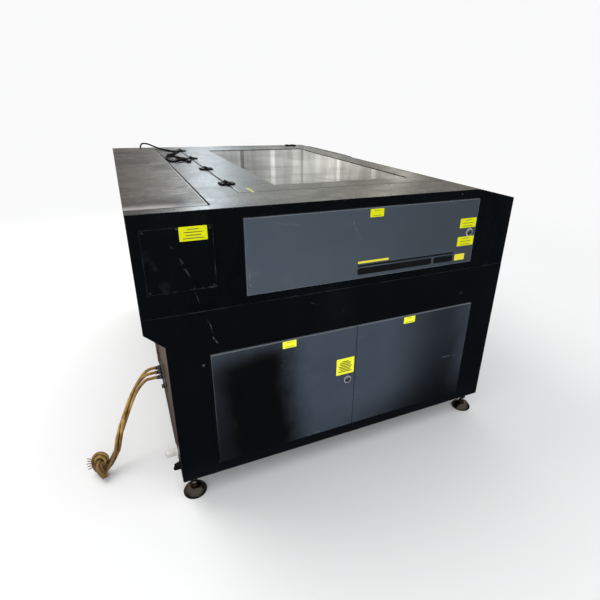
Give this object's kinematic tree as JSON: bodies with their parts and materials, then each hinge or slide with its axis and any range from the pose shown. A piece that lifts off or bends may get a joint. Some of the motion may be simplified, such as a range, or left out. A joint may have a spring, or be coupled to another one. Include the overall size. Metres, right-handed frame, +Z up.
{
  "type": "laser engraver",
  "caption": "Large cabinet laser engraver with a hinged window lid, pass-through end doors, base doors, gantry with laser head and lifting bed, on levelling feet.",
  "frame": {"origin": "on the floor, at the middle of the whole machine's bounding box, hoses and emergency stop included", "axes": "+Z up, +X from the rear of the machine (tube bay and hoses) to the operator's front, +Y from its left end to its right end"},
  "size_m": [1.782, 1.864, 1.135],
  "materials": {
    "black_paint": "semi-gloss textured powder coat",
    "slate_paint": "semi-gloss powder coat",
    "zinc": "zinc plated",
    "steel": "bright steel",
    "chrome": "polished",
    "aluminium": "anodised",
    "black_plastic": "moulded",
    "grey_plastic": "moulded",
    "acrylic": "clear tinted sheet, polished",
    "hose": "amber translucent tube",
    "rubber": "matt",
    "glass": "clear",
    "red": "moulded"
  },
  "bodies": {
    "cabinet": {"base_cabinet": "black_paint", "upper_cabinet": "black_paint", "tube_bay_tray": "black_paint", "left_tube_access_panel": "black_paint", "right_tube_access_panel": "black_paint", "rear_service_panel": "black_paint", "right_service_panel": "slate_paint", "front_panel": "slate_paint", "exhaust_collar": "zinc", "hose_manifold": "zinc", "power_inlet": "grey_plastic", "cable_gland": "rubber", "water_supply_hose": "hose", "water_return_hose": "hose", "air_assist_hose": "hose", "hose_knot": "hose", "deck_cable": "rubber", "laser_tube": "glass", "tube_cradle": "aluminium", "left_rail": "aluminium", "right_rail": "aluminium", "electronics_plate": "zinc", "laser_power_supply": "aluminium", "motion_controller": "black_plastic", "control_panel": "black_plastic", "lid_hinge_1_deck_leaf": "black_plastic", "lid_hinge_2_deck_leaf": "black_plastic", "lid_hinge_3_deck_leaf": "black_plastic", "lid_hinge_4_deck_leaf": "black_plastic"},
    "lid": {"lid_frame": "black_paint", "lid_window": "acrylic", "lid_hinge_1_lid_leaf": "black_plastic", "lid_hinge_2_lid_leaf": "black_plastic", "lid_hinge_3_lid_leaf": "black_plastic", "lid_hinge_4_lid_leaf": "black_plastic"},
    "tube_cover": {"tube_cover": "black_paint"},
    "left_pass_door": {"left_pass_door": "slate_paint"},
    "right_pass_door": {"right_pass_door": "slate_paint"},
    "left_base_door_rear": {"left_base_door_rear": "slate_paint"},
    "left_base_door_front": {"left_base_door_front": "slate_paint"},
    "left_pass_lock": {"left_pass_lock": "chrome"},
    "right_pass_lock": {"right_pass_lock": "chrome"},
    "left_base_lock": {"left_base_lock": "chrome"},
    "left_strut_cylinder": {"left_strut_cylinder": "black_paint"},
    "right_strut_cylinder": {"right_strut_cylinder": "black_paint"},
    "left_strut_rod": {"left_strut_rod": "chrome"},
    "right_strut_rod": {"right_strut_rod": "chrome"},
    "gantry": {"gantry_beam": "aluminium"},
    "head_carriage": {"head_carriage": "aluminium"},
    "laser_head": {"laser_head": "black_paint"},
    "bed": {"bed_frame": "steel", "bed_grid": "aluminium"},
    "left_lift_screw": {"left_lift_screw": "steel"},
    "right_lift_screw": {"right_lift_screw": "steel"},
    "estop": {"estop_button": "red"},
    "key": {"key_switch": "chrome"},
    "foot_rear_left": {"foot_rear_left": "zinc"},
    "foot_front_left": {"foot_front_left": "zinc"},
    "foot_rear_right": {"foot_rear_right": "zinc"},
    "foot_front_right": {"foot_front_right": "zinc"}
  },
  "joints": [
    {"name": "lid_hinge", "type": "hinge", "parent": "cabinet", "child": "lid", "pos_m": [-0.225, 0.04625, 1.1085], "axis": [0, -1, 0], "range_deg": [0, 70]},
    {"name": "left_strut_swing", "type": "hinge", "parent": "cabinet", "child": "left_strut_cylinder", "pos_m": [-0.197, -0.677, 0.8], "axis": [0, -1, 0], "range_deg": [0, 5.46]},
    {"name": "left_strut_extend", "type": "slide", "parent": "left_strut_cylinder", "child": "left_strut_rod", "axis": [0.1901, 0, 0.9818], "range_m": [0, 0.09895]},
    {"name": "right_strut_swing", "type": "hinge", "parent": "cabinet", "child": "right_strut_cylinder", "pos_m": [-0.197, 0.743, 0.8], "axis": [0, -1, 0], "range_deg": [0, 5.46]},
    {"name": "right_strut_extend", "type": "slide", "parent": "right_strut_cylinder", "child": "right_strut_rod", "axis": [0.1901, 0, 0.9818], "range_m": [0, 0.09895]},
    {"name": "tube_cover_hinge", "type": "hinge", "parent": "cabinet", "child": "tube_cover", "pos_m": [-0.595, 0, 1.094], "axis": [0, -1, 0], "range_deg": [0, 95]},
    {"name": "left_pass_door_hinge", "type": "hinge", "parent": "cabinet", "child": "left_pass_door", "pos_m": [-0.269, -0.9275, 0.937], "axis": [0, 0, -1], "range_deg": [0, 110]},
    {"name": "right_pass_door_hinge", "type": "hinge", "parent": "cabinet", "child": "right_pass_door", "pos_m": [-0.269, 0.9275, 0.937], "axis": [0, 0, 1], "range_deg": [0, 110]},
    {"name": "left_base_door_rear_hinge", "type": "hinge", "parent": "cabinet", "child": "left_base_door_rear", "pos_m": [-0.404, -0.9275, 0.3755], "axis": [0, 0, -1], "range_deg": [0, 110]},
    {"name": "left_base_door_front_hinge", "type": "hinge", "parent": "cabinet", "child": "left_base_door_front", "pos_m": [0.72, -0.9275, 0.3755], "axis": [0, 0, 1], "range_deg": [0, 110]},
    {"name": "left_pass_lock_turn", "type": "hinge", "parent": "left_pass_door", "child": "left_pass_lock", "pos_m": [0.641, -0.9215, 0.935], "axis": [0, -1, 0], "range_deg": [0, 90]},
    {"name": "right_pass_lock_turn", "type": "hinge", "parent": "right_pass_door", "child": "right_pass_lock", "pos_m": [0.641, 0.9215, 0.935], "axis": [0, -1, 0], "range_deg": [0, 90]},
    {"name": "left_base_lock_turn", "type": "hinge", "parent": "left_base_door_rear", "child": "left_base_lock", "pos_m": [0.124, -0.9215, 0.375], "axis": [0, -1, 0], "range_deg": [0, 90]},
    {"name": "gantry_slide", "type": "slide", "parent": "cabinet", "child": "gantry", "axis": [1, 0, 0], "range_m": [0, 0.77]},
    {"name": "head_carriage_slide", "type": "slide", "parent": "gantry", "child": "head_carriage", "axis": [0, -1, 0], "range_m": [0, 1.24]},
    {"name": "focus_slide", "type": "slide", "parent": "head_carriage", "child": "laser_head", "axis": [0, 0, 1], "range_m": [-0.008, 0.012]},
    {"name": "bed_lift", "type": "slide", "parent": "cabinet", "child": "bed", "axis": [0, 0, 1], "range_m": [-0.25, 0]},
    {"name": "left_lift_screw_turn", "type": "hinge", "parent": "cabinet", "child": "left_lift_screw", "pos_m": [0.329, -0.6695, 0.1], "axis": [0, 0, 1], "range_deg": [-18100, 100]},
    {"name": "right_lift_screw_turn", "type": "hinge", "parent": "cabinet", "child": "right_lift_screw", "pos_m": [0.329, 0.6695, 0.1], "axis": [0, 0, 1], "range_deg": [-18100, 100]},
    {"name": "estop_press", "type": "slide", "parent": "cabinet", "child": "estop", "axis": [-1, 0, 0], "range_m": [0, 0.006], "stiffness_N_per_m": 900},
    {"name": "key_turn", "type": "hinge", "parent": "cabinet", "child": "key", "pos_m": [0.859, 0.5785, 0.985], "axis": [1, 0, 0], "range_deg": [0, 90]},
    {"name": "foot_rear_left_turn", "type": "hinge", "parent": "cabinet", "child": "foot_rear_left", "pos_m": [-0.501, -0.8835, 0.05], "axis": [0, 0, 1], "continuous": true},
    {"name": "foot_front_left_turn", "type": "hinge", "parent": "cabinet", "child": "foot_front_left", "pos_m": [0.814, -0.8835, 0.05], "axis": [0, 0, 1], "continuous": true},
    {"name": "foot_rear_right_turn", "type": "hinge", "parent": "cabinet", "child": "foot_rear_right", "pos_m": [-0.501, 0.8835, 0.05], "axis": [0, 0, 1], "continuous": true},
    {"name": "foot_front_right_turn", "type": "hinge", "parent": "cabinet", "child": "foot_front_right", "pos_m": [0.814, 0.8835, 0.05], "axis": [0, 0, 1], "continuous": true}
  ],
  "couplings": [
    {"joint": "left_strut_swing", "follows": "lid_hinge", "ratio": 0.075111},
    {"joint": "left_strut_extend", "follows": "lid_hinge", "m_per_rad": 0.080497},
    {"joint": "right_strut_swing", "follows": "lid_hinge", "ratio": 0.075111},
    {"joint": "right_strut_extend", "follows": "lid_hinge", "m_per_rad": 0.080497},
    {"joint": "left_lift_screw_turn", "follows": "bed_lift", "rad_per_m": 1256.6},
    {"joint": "right_lift_screw_turn", "follows": "bed_lift", "rad_per_m": 1256.6}
  ]
}
